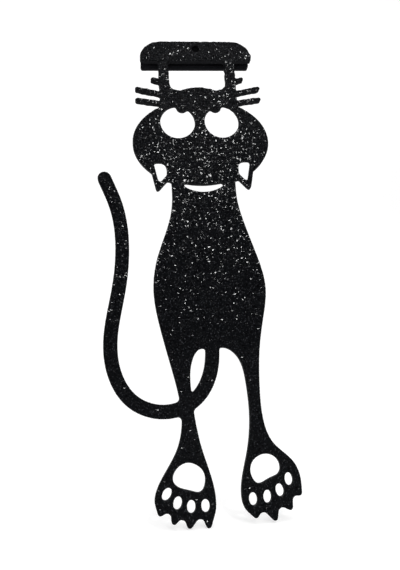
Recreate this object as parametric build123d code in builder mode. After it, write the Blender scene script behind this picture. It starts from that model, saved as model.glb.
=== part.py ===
from build123d import *
import os

# Hanging cat bookmark: a flat cat-shaped plate whose arms end in a bar. Two short layers behind the bar
# leave a slot that drops over the top edge of a page or a cover, and one pin holds the three layers together.
# Millimetres, front towards -Y, origin in the middle of the slot's roof, where the page edge seats.
# A reach is a distance out from the middle line, a drop or sink goes down and a rise goes up.

# Layers, front to back
plate_thickness = 1.5
slot_width = 2.0
lip_thickness = 1.5

# Bar across the top
bar_width = 29.0
bar_height = 5.5
bar_corner_width = 5.6
bar_corner_height = 4.6
bar_foot_radius = 0.6
bar_end_flat = 0.1
slot_depth = 2.0
layer_inset = 0.2
lip_lead_in = 0.5

# Pin through the three layers, above the slot's roof
pin_diameter = 1.75
pin_clearance = 0.05
pin_rise = 1.4
pin_front_sink = 0.5
pin_back_sink = 0.2
pin_end_chamfer = 0.2

# Arms, with the muzzle between them
arm_width = 2.6
arm_reach = 9.9
arm_length = 7.7
arm_corner_radius = 2.0
muzzle_gap = 2.7
muzzle_crest_rise = 0.4
muzzle_foot_sink = 0.55

# Head, thrown back so that the face is upside down; its middle lies below the armpits
head_width = 34.5
head_height = 23.5
head_sink = 14.55

# Eyes above the middle of the head, each with a pupil that hangs on its rim
eye_diameter = 8.9
eye_spacing = 11.3
eye_rise = 5.55
pupil_diameter = 3.2
pupil_rim_sink = 1.8
pupil_root_radius = 0.35
pupil_turn = 17.0

# Whiskers: rise above the middle of the head, reach beyond the arm and tilt
whisker_width = 1.15
whisker_root_sink = 1.2
whiskers = [
    (16.45, 2.2, 14.0),
    (13.05, 6.4, 12.0),
    (10.45, 6.4, 9.0),
]

# The rest is measured from the crown, the lowest point of the head. Ears, open inside their rims
ear_rim = 1.05
ear_root_reach = 13.6
ear_root_rise = 7.65
ear_inner_rise = 2.8
ear_tip_reach = 11.75
ear_tip_sink = 1.3
ear_tip_radius = 0.45
ear_hole_radius = 0.5
ear_hole_inner_radius = 1.6

# Slit between the crown and the shoulders
slit_rise = 0.55
slit_width = 9.9
slit_height = 1.95
slit_sag = 0.55
slit_end_height = 0.95
slit_corner_radius = 0.4

# Body: reach and drop down the flanks
neck_reach = 8.0
neck_rise = 3.5
left_flank = [(-neck_reach, 1.5), (-9.1, 8.7), (-12.4, 17.7), (-13.7, 25.2), (-12.6, 34.5)]
right_flank = [(neck_reach, 1.5), (9.2, 8.7), (11.95, 17.7), (13.6, 26.1), (12.2, 34.5)]
crotch_drop = 40.2
crotch_radius = 0.4

# Tail: middle line from the rump, across the left leg and round to its tip, and which way the tip points
tail_width = 3.3
tail_root_gap = 0.8
tail_root_sink = 2.7
tail_root = (-0.35, crotch_drop - tail_root_sink)
tail_crossing = (-7.2, 53.25)
tail_crossing_radius = 0.9
tail_crossing_tip_radius = 0.3
tail = [
    tail_root, (-1.1, 45.5), (-4.4, 51.3), tail_crossing, (-12.4, 54.35), (-19.75, 51.5),
    (-23.75, 44.5), (-24.3, 37.0), (-22.1, 25.8), (-20.75, 15.0), (-22.0, 4.0), (-24.5, -2.7),
]
tail_tip_lean = (-0.4, 1.0)

# Hind legs: outer and inner edges down to the sides of the paws
left_crotch = (tail_root[0] - tail_width / 2 - tail_root_gap, crotch_drop)
right_crotch = (tail_root[0] + tail_width / 2 + tail_root_gap, crotch_drop)
left_leg_outer = [(-10.9, 42.0), (-9.3, 49.0), (-8.5, 56.0), (-10.1, 63.3), (-14.3, 70.1), (-15.65, 74.3)]
left_leg_inner = [
    left_crotch, (-5.6, 43.7), (-6.05, 48.5), (-5.5, 56.0), (-4.25, 63.1), (-1.75, 73.5), (-1.9, 77.0),
]
right_leg_outer = [(10.85, 41.8), (10.3, 49.5), (10.5, 57.0), (12.45, 62.75), (17.15, 67.7), (18.4, 72.5)]
right_leg_inner = [
    right_crotch, (5.0, 41.8), (7.15, 48.5), (7.45, 57.0), (6.2, 64.9), (4.35, 72.5), (5.2, 77.5),
]
left_paw_lean = (-0.2, -1.0)
right_paw_lean = (0.7, -1.0)

# Paws: claws and the hollows between them by turns, round pad openings, and toe openings with their turn
claw_radius = 0.65
hollow_radius = 1.0
left_claws = [
    (-14.85, 77.55), (-12.05, 76.0), (-12.05, 80.35), (-9.35, 77.25),
    (-8.25, 81.05), (-5.2, 77.45), (-3.65, 81.9),
]
right_claws = [
    (7.4, 79.7), (8.85, 77.45), (12.1, 81.0), (12.7, 76.8), (15.95, 78.55), (16.1, 74.8), (18.4, 75.3),
]
left_pad = [
    (-3.85, 69.5), (-5.75, 66.65), (-8.3, 66.05), (-11.25, 69.7), (-10.4, 71.05), (-7.3, 72.25), (-5.2, 72.7),
]
right_pad = [
    (13.8, 68.5), (12.4, 65.9), (10.0, 65.25), (7.25, 66.8),
    (6.7, 69.3), (8.4, 71.75), (11.2, 70.75), (13.2, 69.95),
]
toe_width = 2.0
toe_length = 3.0
left_toes = [(-12.8, 72.55, -30.0), (-10.45, 74.65, -12.0), (-7.4, 75.65, 0.0), (-4.15, 75.7, 5.0)]
right_toes = [(6.9, 75.05, 8.0), (10.25, 74.75, 2.0), (13.25, 73.55, 15.0), (15.55, 71.25, 10.0)]

# Heights that follow, down from the bar's top edge
roof_drop = bar_height - slot_depth
pin_drop = roof_drop - pin_rise
arm_foot_drop = bar_height + arm_length
head_drop = arm_foot_drop + head_sink
crown_drop = head_drop + head_height / 2
pin_hole_diameter = pin_diameter + 2 * pin_clearance
same_height = 0.01
left, right, down = (-1, 0), (1, 0), (0, -1)


def below_crown(points):
    """Sketch points from pairs of reach and drop below the crown."""
    return [(reach, -crown_drop - drop) for reach, drop in points]


def bar_outline(inset):
    """The bar's outline with the pin's hole, drawn in by the inset at its ends and top."""
    end = bar_width / 2 - inset
    corner_width = bar_corner_width - inset
    corner_height = min(bar_corner_height, bar_height - bar_foot_radius - bar_end_flat) - inset
    with BuildSketch() as outline:
        with BuildLine():
            corner = EllipticalCenterArc(
                (end - corner_width, -inset - corner_height), corner_width, corner_height, arc_size=90
            )
            Polyline((0, -bar_height), (end, -bar_height), corner @ 0)
            Line(corner @ 1, (0, -inset))
            mirror(about=Plane.YZ)
        make_face()
        with Locations((0, -pin_drop)):
            Circle(pin_hole_diameter / 2, mode=Mode.SUBTRACT)
    return outline.sketch


def layer_plane(depth):
    """Sketch plane at a depth from the slot's middle, facing front, its origin on the bar's top edge."""
    return Plane(origin=(0, depth, roof_drop), x_dir=(1, 0, 0), z_dir=(0, -1, 0))


def edge_curve(points, start, end):
    """Smooth edge through the points that leaves and arrives in the given directions."""
    return Spline(below_crown(points), tangents=[start, end], tangent_scalars=[1, 1])


def paw_edge(side, claws, other_side):
    """The paw's lower edge, out to each claw and back into the hollow before the next one."""
    radii = [claw_radius if turn % 2 == 0 else hollow_radius for turn in range(len(claws))]
    FilletPolyline([side] + below_crown(claws) + [other_side], radius=radii)


# Cat plate
with BuildPart() as cat_plate:
    with BuildSketch(layer_plane(-slot_width / 2)) as cat:
        with Locations((0, -head_drop)):
            Ellipse(head_width / 2, head_height / 2)

        # Arms and muzzle
        arm_inner = arm_reach - arm_width
        armpit = (arm_inner, -arm_foot_drop)
        with BuildSketch(mode=Mode.PRIVATE) as arm:
            with BuildLine():
                muzzle = TangentArc(
                    (0, muzzle_crest_rise - arm_foot_drop),
                    (arm_inner - muzzle_gap, -muzzle_foot_sink - arm_foot_drop),
                    tangent=right,
                )
                Polyline(
                    muzzle @ 1,
                    armpit,
                    (arm_inner, -bar_height / 2),
                    (arm_reach, -bar_height / 2),
                    (arm_reach, -head_drop),
                    (0, -head_drop),
                    muzzle @ 0,
                )
            make_face()
            fillet(arm.vertices().sort_by_distance(armpit)[0], arm_corner_radius)
        add(arm.sketch)
        mirror(arm.sketch, about=Plane.YZ)

        # Body, hind legs and paws as one outline
        shoulders = below_crown([(-neck_reach, -neck_rise), (neck_reach, -neck_rise)])
        with BuildLine():
            left_outer = edge_curve(left_flank + left_leg_outer, down, down)
            left_inner = edge_curve(left_leg_inner, left, left_paw_lean)
            paw_edge(left_outer @ 1, left_claws, left_inner @ 1)
            right_outer = edge_curve(right_flank + right_leg_outer, down, down)
            right_inner = edge_curve(right_leg_inner, right, right_paw_lean)
            paw_edge(right_inner @ 1, right_claws, right_outer @ 1)
            Line(left_inner @ 0, right_inner @ 0)
            Polyline(left_outer @ 0, shoulders[0], shoulders[1], right_outer @ 0)
        make_face()

        # Tail with a round tip
        with BuildLine():
            tail_line = edge_curve(tail, down, tail_tip_lean)
        trace(tail_line, tail_width)
        with Locations(tail_line @ 1):
            Circle(tail_width / 2)

        # Bar, ears and whiskers
        add(bar_outline(0))
        ear_corners = below_crown([
            (ear_root_reach, -ear_root_rise),
            (ear_tip_reach, ear_tip_sink),
            (neck_reach, -ear_inner_rise),
            (neck_reach, -ear_root_rise),
        ])
        with BuildSketch(mode=Mode.PRIVATE) as ear:
            Polygon(ear_corners, align=None)
            fillet(ear.vertices().sort_by(Axis.Y)[0], ear_tip_radius)
        with BuildSketch(mode=Mode.PRIVATE) as whisker_set:
            for rise, reach, tilt in whiskers:
                with Locations(Location((arm_reach - whisker_root_sink, rise - head_drop), tilt)):
                    SlotOverall(reach + whisker_root_sink, whisker_width, align=(Align.MIN, Align.CENTER))
        for side in (ear, whisker_set):
            add(side.sketch)
            mirror(side.sketch, about=Plane.YZ)

        # Rounded inner corners: under the bar, beside the tail's root and where the tail crosses the leg
        foot_band = (-bar_height - same_height, -bar_height + same_height)
        fillet(cat.vertices().filter_by_position(Axis.Y, *foot_band), bar_foot_radius)
        for edge in (-1, 1):
            root = below_crown([(tail_root[0] + edge * tail_width / 2, crotch_drop)])[0]
            fillet(cat.vertices().sort_by_distance(root)[0], crotch_radius)
        crossing = cat.vertices().sort_by_distance(below_crown([tail_crossing])[0])[:4].sort_by(Axis.Y)
        fillet(crossing[:3], tail_crossing_radius)
        fillet(cat.vertices().sort_by_distance(crossing[3])[0], tail_crossing_tip_radius)

        # Eyes with their pupils, and the ears' openings
        pupil_offset = eye_diameter / 2 - pupil_diameter / 2 + pupil_rim_sink
        with BuildSketch(mode=Mode.PRIVATE) as eye:
            with Locations((eye_spacing / 2, eye_rise - head_drop)):
                Circle(eye_diameter / 2)
                with PolarLocations(pupil_offset, 1, start_angle=90 + pupil_turn) as pupil:
                    Circle(pupil_diameter / 2, mode=Mode.SUBTRACT)
            fillet(eye.vertices().sort_by_distance(pupil.locations[0].position)[:2], pupil_root_radius)
        with BuildSketch(mode=Mode.PRIVATE) as ear_hole:
            Polygon(ear_corners, align=None)
            offset(amount=-ear_rim, kind=Kind.INTERSECTION)
            hole_corners = ear_hole.vertices().sort_by_distance(ear_corners[-1])
            half_side = hole_corners[0].distance_to(hole_corners[1]) / 2
            fillet(hole_corners[1:], ear_hole_radius)
            inner_corner = ear_hole.vertices().sort_by_distance(ear_corners[-1])[0]
            fillet(inner_corner, min(ear_hole_inner_radius, half_side))
        for side in (eye, ear_hole):
            add(side.sketch, mode=Mode.SUBTRACT)
            mirror(side.sketch, about=Plane.YZ, mode=Mode.SUBTRACT)

        # Slit under the crown
        slit_end = slit_width / 2
        with BuildSketch(mode=Mode.PRIVATE) as slit:
            with BuildLine():
                crown = ThreePointArc((-slit_end, slit_sag), (0, 0), (slit_end, slit_sag))
                foot = crown @ 1 - Vector(0, slit_end_height)
                back = ThreePointArc(foot, (0, -slit_height), (-foot.X, foot.Y))
                Line(crown @ 1, back @ 0)
                Line(back @ 1, crown @ 0)
            make_face()
            fillet(slit.vertices(), slit_corner_radius)
        with Locations((0, slit_rise - crown_drop)):
            add(slit.sketch, mode=Mode.SUBTRACT)

        # Pads and toes
        for pad, toes in ((left_pad, left_toes), (right_pad, right_toes)):
            with BuildLine():
                Spline(below_crown(pad), periodic=True)
            make_face(mode=Mode.SUBTRACT)
            for reach, drop, turn in toes:
                with Locations(Location((reach, -crown_drop - drop), turn)):
                    Ellipse(toe_width / 2, toe_length / 2, mode=Mode.SUBTRACT)
    extrude(amount=plate_thickness)

# Spacer that sets the slot's width, its lower face is the slot's roof
with BuildPart() as slot_spacer:
    with BuildSketch(layer_plane(slot_width / 2)):
        add(bar_outline(layer_inset))
        with Locations((0, -roof_drop)):
            Rectangle(bar_width, bar_height, align=(Align.CENTER, Align.MAX), mode=Mode.SUBTRACT)
    extrude(amount=slot_width)

# Lip that keeps the page edge in the slot, with a lead-in on its inner lower edge
with BuildPart() as back_lip:
    with BuildSketch(layer_plane(slot_width / 2 + lip_thickness)) as lip_outline:
        add(bar_outline(layer_inset))
        fillet(lip_outline.vertices().group_by(Axis.Y)[0], bar_foot_radius)
    extrude(amount=lip_thickness)
    with BuildSketch(Plane(origin=(0, slot_width / 2, -slot_depth), x_dir=(0, 1, 0), z_dir=(1, 0, 0))):
        Polygon((0, 0), (lip_lead_in, 0), (0, lip_lead_in), align=None)
    extrude(amount=bar_width / 2, both=True, mode=Mode.SUBTRACT)

# Pin, sunk below the front so that its hole shows as a small dark recess
pin_back = slot_width / 2 + lip_thickness - pin_back_sink
pin_front = -slot_width / 2 - plate_thickness + pin_front_sink
with BuildPart() as layer_pin:
    with BuildSketch(layer_plane(pin_back)):
        with Locations((0, -pin_drop)):
            Circle(pin_diameter / 2)
    extrude(amount=pin_back - pin_front)
    chamfer(layer_pin.edges(), pin_end_chamfer)

os.makedirs("parts", exist_ok=True)
for name, piece in (
    ("cat_plate", cat_plate),
    ("slot_spacer", slot_spacer),
    ("back_lip", back_lip),
    ("layer_pin", layer_pin),
):
    piece.part.label = name
    export_step(piece.part, f"parts/{name}.step")
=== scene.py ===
import math
from functools import cached_property

import bmesh
import bpy
import numpy as np
from mathutils import Matrix, Vector, kdtree, noise
from mathutils.geometry import delaunay_2d_cdt


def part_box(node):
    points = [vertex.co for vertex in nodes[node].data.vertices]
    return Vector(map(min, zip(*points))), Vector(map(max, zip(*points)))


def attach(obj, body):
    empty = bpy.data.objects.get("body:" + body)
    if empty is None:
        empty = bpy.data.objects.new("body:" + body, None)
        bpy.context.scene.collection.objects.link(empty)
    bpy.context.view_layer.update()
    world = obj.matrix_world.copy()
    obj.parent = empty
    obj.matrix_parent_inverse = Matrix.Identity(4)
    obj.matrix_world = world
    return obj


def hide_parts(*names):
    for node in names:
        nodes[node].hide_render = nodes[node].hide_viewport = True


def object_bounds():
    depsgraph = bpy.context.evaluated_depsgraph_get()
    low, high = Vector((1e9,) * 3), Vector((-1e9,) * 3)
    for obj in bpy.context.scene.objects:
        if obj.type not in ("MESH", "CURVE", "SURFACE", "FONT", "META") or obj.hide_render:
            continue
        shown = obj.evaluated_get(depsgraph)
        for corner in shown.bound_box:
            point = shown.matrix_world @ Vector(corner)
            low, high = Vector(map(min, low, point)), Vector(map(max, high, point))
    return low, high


# Looks of the hanging cat bookmark. The plate gets a mesh of its own, with the small tilted facets of its
# sparkling front and the slightly rough edge of a print. The layers behind the bar and the pin keep their
# solids and get eased edges. The scene is in metres, with the front towards -Y, x to the right and z up.

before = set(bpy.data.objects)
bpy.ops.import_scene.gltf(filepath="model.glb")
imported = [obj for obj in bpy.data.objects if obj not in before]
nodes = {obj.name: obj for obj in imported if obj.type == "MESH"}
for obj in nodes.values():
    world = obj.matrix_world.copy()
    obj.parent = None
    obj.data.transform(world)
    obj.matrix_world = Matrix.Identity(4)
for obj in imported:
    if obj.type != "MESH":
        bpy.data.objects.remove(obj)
cad_low, cad_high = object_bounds()

MM = 0.001
TINY = 1e-6                      # keeps a division safe and joins equal points

# Outline of the plate
WELD = 1e-4                      # mm, points closer than this are one
EDGE_STEP = 0.20                 # mm between points along the outline
CORNER_PASSES = 3                # rounds of averaging that soften its corners
CORNER_COSINE = 0.5              # an offset at a corner is lengthened at most by one over this
RAGGED = 0.16                    # mm, the most that the rough outline of the bar and brow strays
RAGGED_PITCH = 0.9               # mm from one of its bumps to the next
RAGGED_HEIGHTS = (-19.0, -12.0)  # mm, it starts at the first height and is full from the second
SMALL_HOLE = 8.0                 # mm around, shorter loops keep their exact shape

# Edges, walls and back of the plate
EDGE_ROUND = 0.16                # mm, rounding of the front edge
EDGE_RINGS = (0.05, 0.14)        # mm in from the outline, extra points on that rounding
WALL_ROWS = (0.22, 0.8, 1.38)    # mm behind the front face, rows of points on the walls
BACK_ROUND = 0.06                # mm, rounding of the back edge
BACK_STEP = 2.0                  # mm between points of the back face
SHARP_ANGLE = math.radians(50)   # edges sharper than this aren't shaded smooth

# Facets of the front face
FACET_SEED = 7
FACET_STEP = 0.32                # mm between their corners
FACET_JITTER = 0.25              # of that step
FACET_RISE = 0.030               # mm, the most that a corner stands above or below the face
FACET_ROWS = (0.5, 0.92)         # mm in from the outline, rows of corners that follow it
ROW_SLACK = 0.95                 # of a row's depth, corners nearer to the outline are dropped
GRID_GAP = 0.7                   # of a step, kept free between the last row and the other corners
FLAT_FROM = 0.22                 # mm in from the outline, triangles that reach further in are flat facets
RIM_SHARE = 0.4                  # of a corner's rise left at the outline
PAW_RISE = 2.2                   # times that rise on the hind paws, which are rougher
PAW_HEIGHTS = (-92.0, -100.0)    # mm, from the first height down to the second it grows to that

TRIANGLES_INSIDE = 1             # the kind of triangulation that fills the outline


def outline_loops(node):
    """Closed loops of (x, z) in mm around a node's front face, with the material on their left."""
    mesh = bmesh.new()
    mesh.from_mesh(node.data)
    bmesh.ops.remove_doubles(mesh, verts=mesh.verts, dist=WELD * MM)
    front_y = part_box(node.name)[0].y
    sides = set()
    for face in mesh.faces:
        if all(abs(corner.co.y - front_y) < WELD * MM for corner in face.verts):
            sides.update((side.vert.index, side.link_loop_next.vert.index) for side in face.loops)
    places = [(corner.co.x / MM, corner.co.z / MM) for corner in mesh.verts]
    mesh.free()
    onward = {start: end for start, end in sides if (end, start) not in sides}
    loops = []
    while onward:
        first = min(onward)
        loop = [first]
        step = onward.pop(first)
        while step != first:
            loop.append(step)
            step = onward.pop(step)
        loops.append(np.array([places[i] for i in loop]))
    return loops


def outward(loop):
    """Direction away from the material at each point, lengthened at corners so that offsets stay even."""
    ahead = np.roll(loop, -1, axis=0) - loop
    ahead /= np.linalg.norm(ahead, axis=1)[:, None]
    normal = np.stack([ahead[:, 1], -ahead[:, 0]], axis=1)
    both = normal + np.roll(normal, 1, axis=0)
    both /= np.maximum(np.linalg.norm(both, axis=1), TINY)[:, None]
    return both / np.maximum((both * normal).sum(axis=1), CORNER_COSINE)[:, None]


def growth(heights, ends):
    """Share that grows from 0 at the first of two heights to 1 at the second."""
    start, full = ends
    return np.clip((heights - start) / (full - start), 0, 1)


def printed_edge(loop):
    """The loop in even steps, with softened corners, and rougher towards the bar."""
    closed = np.concatenate([loop, loop[:1]])
    along = np.concatenate([[0], np.cumsum(np.linalg.norm(np.diff(closed, axis=0), axis=1))])
    length = along[-1]
    count = math.ceil(length / EDGE_STEP)
    stops = np.arange(count) * length / count
    points = np.stack([np.interp(stops, along, closed[:, axis]) for axis in (0, 1)], axis=1)
    if length < SMALL_HOLE:
        return points
    for _ in range(CORNER_PASSES):
        points = points / 2 + (np.roll(points, 1, axis=0) + np.roll(points, -1, axis=0)) / 4
    share = growth(points[:, 1], RAGGED_HEIGHTS)
    stray = [noise.noise(Vector((x, z, 0)) / RAGGED_PITCH) for x, z in points]
    return points + outward(points) * (RAGGED * share * stray)[:, None]


def inside(points, loops):
    """True for the points that lie on the material."""
    odd = np.zeros(len(points), bool)
    x, z = points[:, 0], points[:, 1]
    for loop in loops:
        for (x0, z0), (x1, z1) in zip(loop, np.roll(loop, -1, axis=0)):
            if z0 != z1:
                odd ^= ((z0 <= z) != (z1 <= z)) & (x < x0 + (z - z0) * (x1 - x0) / (z1 - z0))
    return odd


def tree_of(points):
    """Search tree over points."""
    tree = kdtree.KDTree(len(points))
    for i, (x, z) in enumerate(points):
        tree.insert((x, z, 0), i)
    tree.balance()
    return tree


def distances(points, tree):
    """How far each point is from the nearest one in a tree."""
    return np.array([tree.find((x, z, 0))[2] for x, z in points])


def grid(loops, step, clear, rng=None):
    """Points in offset rows over the material, clear of the outline, and jittered where rng is given."""
    low = np.concatenate(loops).min(axis=0)
    high = np.concatenate(loops).max(axis=0)
    row_step = step * math.sqrt(3) / 2
    rows = []
    for row in range(int((high[1] - low[1]) / row_step) + 1):
        x = np.arange(low[0] + (row % 2) * step / 2, high[0], step)
        rows.append(np.stack([x, np.full_like(x, low[1] + row * row_step)], axis=1))
    points = np.concatenate(rows)
    if rng is not None:
        points += rng.uniform(-FACET_JITTER * step, FACET_JITTER * step, points.shape)
    points = points[inside(points, loops)]
    return points[distances(points, tree_of(np.concatenate(loops))) > clear]


def triangles(loops, extra):
    """Triangles over the material whose corners are the loops' points and then the extra ones."""
    points = np.concatenate(loops + [extra])
    edges = []
    first = 0
    for loop in loops:
        count = len(loop)
        edges += [(first + k, first + (k + 1) % count) for k in range(count)]
        first += count
    found = delaunay_2d_cdt([Vector(point) for point in points], edges, [], TRIANGLES_INSIDE, TINY)
    origin = [ids[0] for ids in found[3]]
    faces = np.array([[origin[i] for i in face] for face in found[2]])
    return points, faces[inside(points[faces].mean(axis=1), loops)].tolist()


def at_depth(points, y):
    """Points of the outline's plane, set at a depth."""
    return np.stack([points[:, 0], np.full(len(points), y), points[:, 1]], axis=1)


def faceted_front(loops, outline, out, front_y):
    """Corners of the front, the outline's points first, its triangles, and which of them are flat facets."""
    rng = np.random.default_rng(FACET_SEED)
    tree = tree_of(outline)
    rings = []
    for depth in EDGE_RINGS + FACET_ROWS:
        ring = outline - out * depth
        rings.append(ring[distances(ring, tree) > ROW_SLACK * depth])
    inner = grid(loops, FACET_STEP, FACET_ROWS[-1] + FACET_STEP * GRID_GAP, rng)
    points, faces = triangles(loops, np.concatenate(rings + [inner]))

    distance = distances(points, tree)
    rim = np.clip(distance / EDGE_ROUND, 0, 1)
    sunk = EDGE_ROUND * (1 - np.sqrt(1 - (1 - rim) ** 2))
    rise = rng.uniform(-FACET_RISE, FACET_RISE, len(points))
    share = RIM_SHARE + (1 - RIM_SHARE) * np.clip(distance / FACET_ROWS[-1], 0, 1)
    share *= 1 + (PAW_RISE - 1) * growth(points[:, 1], PAW_HEIGHTS)
    places = at_depth(points, front_y)
    places[:, 1] += sunk - rise * share

    edge = len(outline)
    places[:edge, [0, 2]] += np.maximum(rise[:edge], 0)[:, None] * out
    is_flat = (distance[np.array(faces)] > FLAT_FROM).any(axis=1)
    return places, faces, is_flat.tolist()


def faceted_plate(node, front_finish, wall_finish):
    """The plate with a front of small facets, an eased outline, smooth walls and a plain back."""
    low, high = (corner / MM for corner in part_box(node.name))
    loops = [printed_edge(loop) for loop in outline_loops(node)]
    outs = [outward(loop) for loop in loops]
    outline = np.concatenate(loops)

    front, faces, is_flat = faceted_front(loops, outline, np.concatenate(outs), low.y)
    front_count = len(faces)
    wall_depths = (*WALL_ROWS, high.y - low.y - BACK_ROUND)
    walls = [at_depth(outline, low.y + depth) for depth in wall_depths]
    back_loops = [loop - out * BACK_ROUND for loop, out in zip(loops, outs)]
    back, back_faces = triangles(back_loops, grid(loops, BACK_STEP, BACK_STEP / 2))
    blocks = [front, *walls, at_depth(back, high.y)]
    starts = np.cumsum([0] + [len(block) for block in blocks[:-1]]).tolist()

    faces += [[starts[-1] + i for i in reversed(face)] for face in back_faces]
    is_flat += [True] * len(back_faces)
    first = 0
    for loop in loops:
        count = len(loop)
        for k in range(count):
            here = first + k
            there = first + (k + 1) % count
            for upper, lower in zip(starts, starts[1:]):
                faces.append([upper + here, lower + here, lower + there, upper + there])
        first += count

    mesh = bpy.data.meshes.new("faceted_plate")
    mesh.from_pydata((np.concatenate(blocks) * MM).tolist(), [], faces)
    mesh.update()
    mesh.shade_smooth()
    mesh.set_sharp_from_angle(angle=SHARP_ANGLE)
    mesh.materials.append(front_finish)
    mesh.materials.append(wall_finish)
    for face in mesh.polygons[front_count:]:
        face.material_index = 1
    for face, flat in zip(mesh.polygons, is_flat):
        face.use_smooth = not flat
    made = bpy.data.objects.new("faceted_plate", mesh)
    bpy.context.scene.collection.objects.link(made)
    return made


# Plastics: pairs go from dark to light or from smooth to rough, scales are noise waves per metre
BUMP_STRENGTH = 0.8
CLOUD_DETAIL = 3.0
GRAIN_DETAIL = 2.0
SPOT_DETAIL = 1.0

FRONT_COLOURS = ((0.0022, 0.0025, 0.0032), (0.0033, 0.0037, 0.0045))
FRONT_ROUGHNESS = (0.07, 0.12)
FRONT_SPECULAR = 0.043
FRONT_CLOUD_SCALE = 90.0
FRONT_GRAIN_SCALE = 7000.0
FRONT_BUMP = 0.001               # mm
# Painted shade: dark specks that stand in for the shade between the bumps of the front
SHADE_SPECK_COLOUR = (0.0006, 0.0006, 0.0009)
SHADE_SPECK_SCALE = 1900.0
SHADE_SPECK_NOISE = (0.46, 0.30)         # painted shade specks begin at the first level of the noise and are full at the second
# Painted highlights: pale specks that stand in for faint glints on the bumps of the front
GLINT_SPECK_COLOUR = (0.0290, 0.0305, 0.0345)
GLINT_SPECK_SCALE = 2700.0
GLINT_SPECK_NOISE = (0.58, 0.74)       # painted highlight specks begin at the first level and are full at the second

WALL_COLOURS = ((0.0075, 0.0078, 0.0096), (0.0110, 0.0113, 0.0134))
WALL_ROUGHNESS = (0.46, 0.58)
LAYER_COLOURS = ((0.0105, 0.0108, 0.0130), (0.0155, 0.0158, 0.0184))
LAYER_ROUGHNESS = (0.44, 0.56)
LAYER_CLOUD_SCALE = 120.0
LAYER_GRAIN_SCALE = 5000.0
SATIN_SPECULAR = 0.01
SATIN_BUMP = 0.010               # mm
LINE_SHARE = 0.35                # height of the print lines, of the grain's
LAYER_PITCH = 0.2                # mm, print layers lie one behind the other
RASTER_PITCH = 0.42              # mm, print lines run slantwise over the back face
RASTER_ACROSS = (math.sqrt(0.5), 0, math.sqrt(0.5))
BACK_FACING = (0.6, 0.9)         # how far a surface faces backwards, from wall to back

PIN_COLOURS = ((0.0008, 0.0008, 0.0010), (0.0020, 0.0020, 0.0024))
PIN_ROUGHNESS = (0.6, 0.8)
PIN_SPECULAR = 0.02
PIN_GRAIN_SCALE = 4000.0
PIN_GRAIN_DETAIL = 4.0
PIN_GRAIN_ROUGHNESS = 0.65
PIN_BUMP = 0.02                  # mm


class Nodes:
    """Builds a material's nodes in short lines. A value is a number, a colour or another node's output."""

    def __init__(self, name):
        self.material = bpy.data.materials.new(name)
        self.material.use_nodes = True
        self.tree = self.material.node_tree
        self.shader = self.tree.nodes["Principled BSDF"]

    @cached_property
    def place(self):
        return self.add("ShaderNodeTexCoord").outputs

    def add(self, kind, **settings):
        node = self.tree.nodes.new(kind)
        for key, value in settings.items():
            setattr(node, key, value)
        return node

    def put(self, value, socket):
        if isinstance(value, bpy.types.NodeSocket):
            self.tree.links.new(value, socket)
        else:
            socket.default_value = value

    def math(self, operation, a, b=0.0):
        node = self.add("ShaderNodeMath", operation=operation)
        self.put(a, node.inputs[0])
        self.put(b, node.inputs[1])
        return node.outputs[0]

    def noise(self, scale, detail, roughness=0.5):
        node = self.add("ShaderNodeTexNoise")
        self.put(self.place["Object"], node.inputs["Vector"])
        self.put(scale, node.inputs["Scale"])
        self.put(detail, node.inputs["Detail"])
        self.put(roughness, node.inputs["Roughness"])
        return node.outputs[0]

    def ramp(self, value, low, high):
        """Smooth share from 0 where the value is low to 1 where it is high."""
        node = self.add("ShaderNodeMapRange", interpolation_type="SMOOTHSTEP")
        self.put(value, node.inputs["Value"])
        self.put(low, node.inputs["From Min"])
        self.put(high, node.inputs["From Max"])
        return node.outputs[0]

    def mix(self, share, a, b):
        node = self.add("ShaderNodeMix", data_type="FLOAT")
        self.put(share, node.inputs[0])
        self.put(a, node.inputs[2])
        self.put(b, node.inputs[3])
        return node.outputs[0]

    def tint(self, share, a, b):
        node = self.add("ShaderNodeMix", data_type="RGBA")
        self.put(share, node.inputs[0])
        for value, socket in ((a, node.inputs[6]), (b, node.inputs[7])):
            self.put((*value, 1) if isinstance(value, tuple) else value, socket)
        return node.outputs[2]

    def waves(self, direction, pitch):
        """Even lines across a direction, one per pitch in metres."""
        dot = self.add("ShaderNodeVectorMath", operation="DOT_PRODUCT")
        self.put(self.place["Object"], dot.inputs[0])
        dot.inputs[1].default_value = [2 * math.pi / pitch * part for part in direction]
        return self.math("SINE", dot.outputs["Value"])

    def finish(self, colour, roughness, specular, height, depth):
        """Sets the shader, with a bump of a height whose depth is in mm."""
        bump = self.add("ShaderNodeBump")
        self.put(BUMP_STRENGTH, bump.inputs["Strength"])
        self.put(depth * MM, bump.inputs["Distance"])
        self.put(height, bump.inputs["Height"])
        self.put(colour, self.shader.inputs["Base Color"])
        self.put(roughness, self.shader.inputs["Roughness"])
        self.put(specular, self.shader.inputs["Specular IOR Level"])
        self.put(bump.outputs[0], self.shader.inputs["Normal"])
        return self.material


def front_plastic():
    """Near-black glossy plastic of the plate's front, with dark specks of painted shade and pale specks of
    painted faint glints.
    """
    n = Nodes("plate_plastic")
    cloud = n.noise(FRONT_CLOUD_SCALE, CLOUD_DETAIL)
    grain = n.noise(FRONT_GRAIN_SCALE, GRAIN_DETAIL)
    # painted shade: dark specks for the shade between the front's bumps
    shade_specks = n.ramp(n.noise(SHADE_SPECK_SCALE, SPOT_DETAIL), *SHADE_SPECK_NOISE)
    # painted highlights: pale specks for faint glints on the front's bumps
    glint_specks = n.ramp(n.noise(GLINT_SPECK_SCALE, SPOT_DETAIL), *GLINT_SPECK_NOISE)
    shade_specked = n.tint(shade_specks, n.tint(cloud, *FRONT_COLOURS), SHADE_SPECK_COLOUR)
    colour = n.tint(glint_specks, shade_specked, GLINT_SPECK_COLOUR)
    return n.finish(colour, n.mix(grain, *FRONT_ROUGHNESS), FRONT_SPECULAR, grain, FRONT_BUMP)


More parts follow.
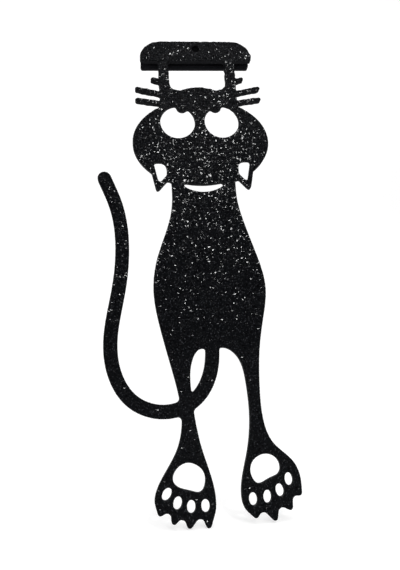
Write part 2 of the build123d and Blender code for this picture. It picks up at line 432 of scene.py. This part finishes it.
def satin_plastic(name, colours, roughness, cloud_scale, grain_scale, has_raster):
    """The same plastic, satin, with faint layer lines on edges, and raster lines on a printed back."""
    n = Nodes(name)
    cloud = n.noise(cloud_scale, CLOUD_DETAIL)
    grain = n.noise(grain_scale, GRAIN_DETAIL)
    lines = n.waves((0, 1, 0), LAYER_PITCH * MM)
    if has_raster:
        normal = n.add("ShaderNodeSeparateXYZ")
        n.put(n.place["Normal"], normal.inputs[0])
        back = n.ramp(normal.outputs["Y"], *BACK_FACING)
        lines = n.mix(back, lines, n.waves(RASTER_ACROSS, RASTER_PITCH * MM))
    height = n.math("ADD", n.math("MULTIPLY", lines, LINE_SHARE), grain)
    colour = n.tint(cloud, *colours)
    return n.finish(colour, n.mix(cloud, *roughness), SATIN_SPECULAR, height, SATIN_BUMP)


def pin_plastic():
    """Dull cut end of a filament."""
    n = Nodes("pin_plastic")
    grain = n.noise(PIN_GRAIN_SCALE, PIN_GRAIN_DETAIL, PIN_GRAIN_ROUGHNESS)
    colour = n.tint(grain, *PIN_COLOURS)
    return n.finish(colour, n.mix(grain, *PIN_ROUGHNESS), PIN_SPECULAR, grain, PIN_BUMP)


wall_finish = satin_plastic(
    "plate_walls", WALL_COLOURS, WALL_ROUGHNESS, FRONT_CLOUD_SCALE, FRONT_GRAIN_SCALE, has_raster=True
)
layer_finish = satin_plastic(
    "layer_plastic", LAYER_COLOURS, LAYER_ROUGHNESS, LAYER_CLOUD_SCALE, LAYER_GRAIN_SCALE, has_raster=False
)

plate = faceted_plate(nodes["cat_plate"], front_plastic(), wall_finish)
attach(plate, "root")
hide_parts("cat_plate")

# Layers behind the bar and the pin
EASED_ROUND = 0.10               # mm
EASED_SEGMENTS = 2
EASED_ANGLE = math.radians(40)   # edges sharper than this are eased

finishes = {"slot_spacer": layer_finish, "back_lip": layer_finish, "layer_pin": pin_plastic()}
for name, material in finishes.items():
    nodes[name].data.materials.clear()
    nodes[name].data.materials.append(material)
    weld = nodes[name].modifiers.new("one skin", "WELD")
    weld.merge_threshold = WELD * MM
    ease = nodes[name].modifiers.new("eased edges", "BEVEL")
    ease.width = EASED_ROUND * MM
    ease.segments = EASED_SEGMENTS
    ease.limit_method = "ANGLE"
    ease.angle_limit = EASED_ANGLE

# Pale sweep: a floor under the claws that rises into a backdrop, in metres
FLOOR_FRONT = -6.0
FLOOR_BACK = 0.30
SWEEP_RADIUS = 0.25
SWEEP_STEPS = 16
BACKDROP_TOP = 1.2
SWEEP_HALF_WIDTH = 6.0
PAPER_GREY = 0.55
PAPER_GLOW = 0.6


def sweep(height):
    """Floor at a height, a quarter round and an upright backdrop in one sheet."""
    profile = [(FLOOR_FRONT, height), (FLOOR_BACK, height)]
    for k in range(1, SWEEP_STEPS + 1):
        turn = math.radians(90 * k / SWEEP_STEPS)
        y = FLOOR_BACK + SWEEP_RADIUS * math.sin(turn)
        profile.append((y, height + SWEEP_RADIUS * (1 - math.cos(turn))))
    profile.append((FLOOR_BACK + SWEEP_RADIUS, BACKDROP_TOP))
    points = [(x, y, z) for y, z in profile for x in (-SWEEP_HALF_WIDTH, SWEEP_HALF_WIDTH)]
    faces = [(2 * k, 2 * k + 1, 2 * k + 3, 2 * k + 2) for k in range(len(profile) - 1)]
    mesh = bpy.data.meshes.new("sweep")
    mesh.from_pydata(points, [], faces)
    mesh.shade_smooth()
    made = bpy.data.objects.new("sweep", mesh)
    bpy.context.scene.collection.objects.link(made)
    return made


def sweep_paper():
    """White paper that keeps a soft shadow and shows white to the camera and in reflections."""
    n = Nodes("sweep_paper")
    n.tree.nodes.remove(n.shader)
    paper = n.add("ShaderNodeBsdfDiffuse")
    n.put((PAPER_GREY, PAPER_GREY, PAPER_GREY, 1), paper.inputs["Color"])
    ray = n.add("ShaderNodeLightPath").outputs
    seen = n.math("MAXIMUM", ray["Is Camera Ray"], ray["Is Glossy Ray"])
    seen = n.math("MAXIMUM", seen, ray["Is Transmission Ray"])
    glow = n.add("ShaderNodeEmission")
    n.put(n.math("MULTIPLY", seen, PAPER_GLOW), glow.inputs["Strength"])
    both = n.add("ShaderNodeAddShader")
    n.put(paper.outputs[0], both.inputs[0])
    n.put(glow.outputs[0], both.inputs[1])
    n.put(both.outputs[0], n.tree.nodes["Material Output"].inputs["Surface"])
    return n.material


floor = sweep(cad_low.z)
floor.data.materials.append(sweep_paper())

# Lamps: name, place, what it aims at, width of its disc, watts. The facets mirror the small key one by one,
# and the bar and the upper head mirror the panel.
HEAD = (0.0, 0.0, -0.025)
CHEST = (0.0, 0.0, -0.05)
BELLY = (0.0, 0.0, -0.06)
LAMPS = (
    ("key", (0.074, -0.556, 0.189), HEAD, 0.04, 1.22),
    ("panel", (0.12, -0.76, 0.82), HEAD, 0.8, 3.2),
    ("overhead", (0.0, -0.1, 0.75), BELLY, 0.8, 3.5),
    ("side", (-0.55, -0.40, 0.15), CHEST, 0.4, 1.0),
)
ROOM_LEVEL = 0.25


def lamp(name, place, aim, size, power):
    """Round area lamp."""
    light = bpy.data.lights.new(name, "AREA")
    light.shape = "DISK"
    light.size = size
    light.energy = power
    made = bpy.data.objects.new(name, light)
    made.location = place
    made.rotation_euler = (Vector(aim) - Vector(place)).to_track_quat("-Z", "Y").to_euler()
    bpy.context.scene.collection.objects.link(made)


for row in LAMPS:
    lamp(*row)

room = bpy.data.worlds.new("room")
room.use_nodes = True
room_light = room.node_tree.nodes["Background"].inputs
room_light["Color"].default_value = (1.0, 1.0, 1.0, 1)
room_light["Strength"].default_value = ROOM_LEVEL
bpy.context.scene.world = room
bpy.context.scene.view_settings.view_transform = "Standard"

# Camera low and to the left of the bookmark, looking slightly up
AIM = Vector((-2.49, -2.5, -60.91)) * MM
DISTANCE = 144.7 * MM
YAW = math.radians(6.6)
PITCH = math.radians(10.0)
ROLL = math.radians(-3.4)
FOCAL_PIXELS = 600.0
IMAGE_LONG_SIDE = 570.0
SENSOR_WIDTH = 36.0
NEAREST = 0.005
FARTHEST = 20.0

lens = bpy.data.cameras.new("camera")
lens.sensor_width = SENSOR_WIDTH
lens.lens = SENSOR_WIDTH * FOCAL_PIXELS / IMAGE_LONG_SIDE
lens.clip_start = NEAREST
lens.clip_end = FARTHEST
camera = bpy.data.objects.new("camera", lens)
turn = (
    Matrix.Rotation(-YAW, 4, "Z")
    @ Matrix.Rotation(PITCH, 4, "X")
    @ Matrix.Rotation(-ROLL, 4, "Y")
    @ Matrix.Rotation(math.radians(90), 4, "X")
)
camera.matrix_world = Matrix.Translation(AIM) @ turn @ Matrix.Translation((0, 0, DISTANCE))
bpy.context.scene.collection.objects.link(camera)
bpy.context.scene.camera = camera

bpy.context.view_layer.update()
